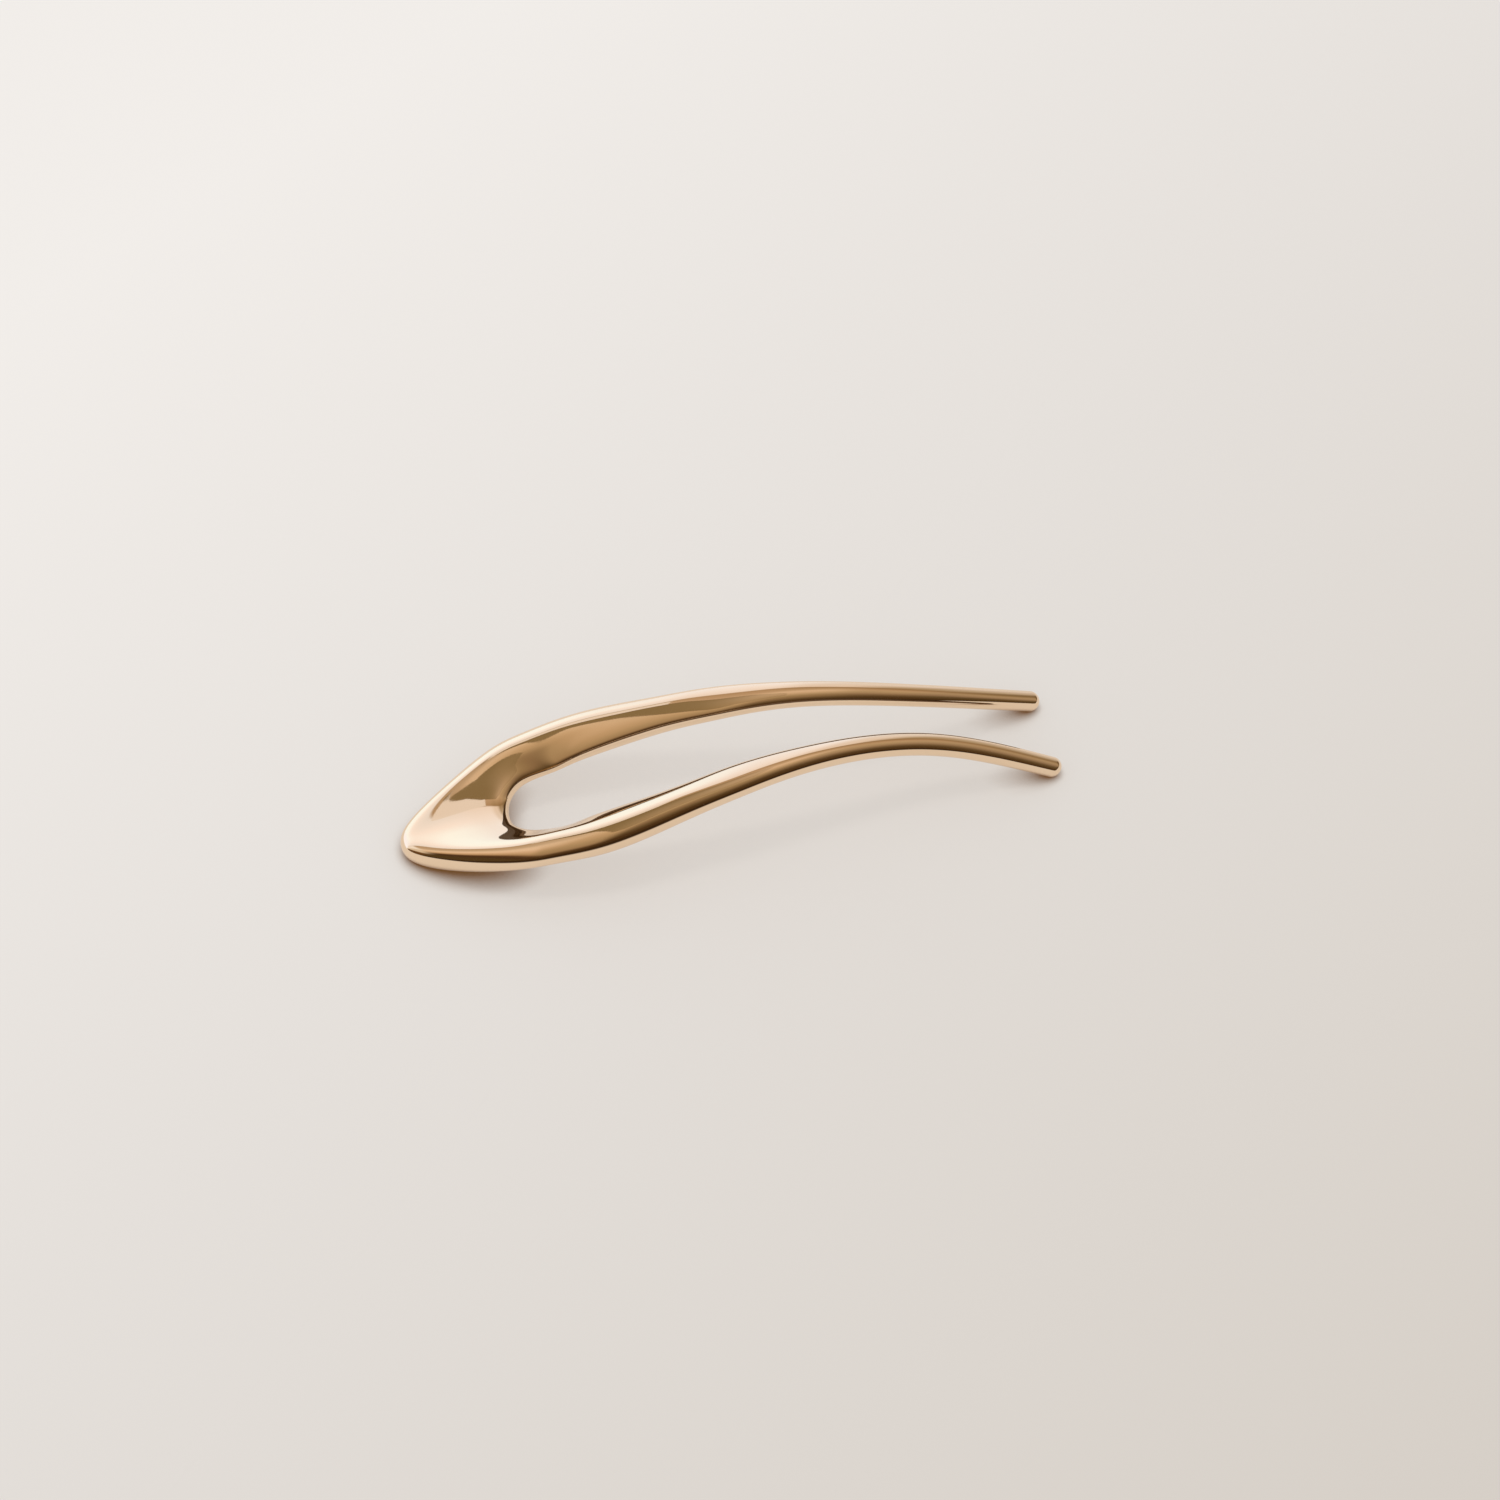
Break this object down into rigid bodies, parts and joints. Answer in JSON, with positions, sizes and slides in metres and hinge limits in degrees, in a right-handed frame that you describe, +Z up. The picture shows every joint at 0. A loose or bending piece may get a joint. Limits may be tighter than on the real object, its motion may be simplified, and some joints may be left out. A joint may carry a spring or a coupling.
{
  "type": "u-shaped hair stick",
  "caption": "U-shaped hair stick cast in one piece: a dished pointed bow and two arched prongs that narrow to a waist and flare at round tips",
  "frame": {"origin": "under the middle of the bounding box, on the table that the stick lies on", "axes": "+X runs along the stick from the nose of the bow to the two tips, +Y across from one prong to the other, +Z up out of the table"},
  "size_m": [0.1144, 0.029, 0.018],
  "materials": {
    "gold_plate": "polished gold-tone plating over the whole casting"
  },
  "bodies": {
    "root": {"hair_stick": "gold_plate"}
  },
  "joints": []
}
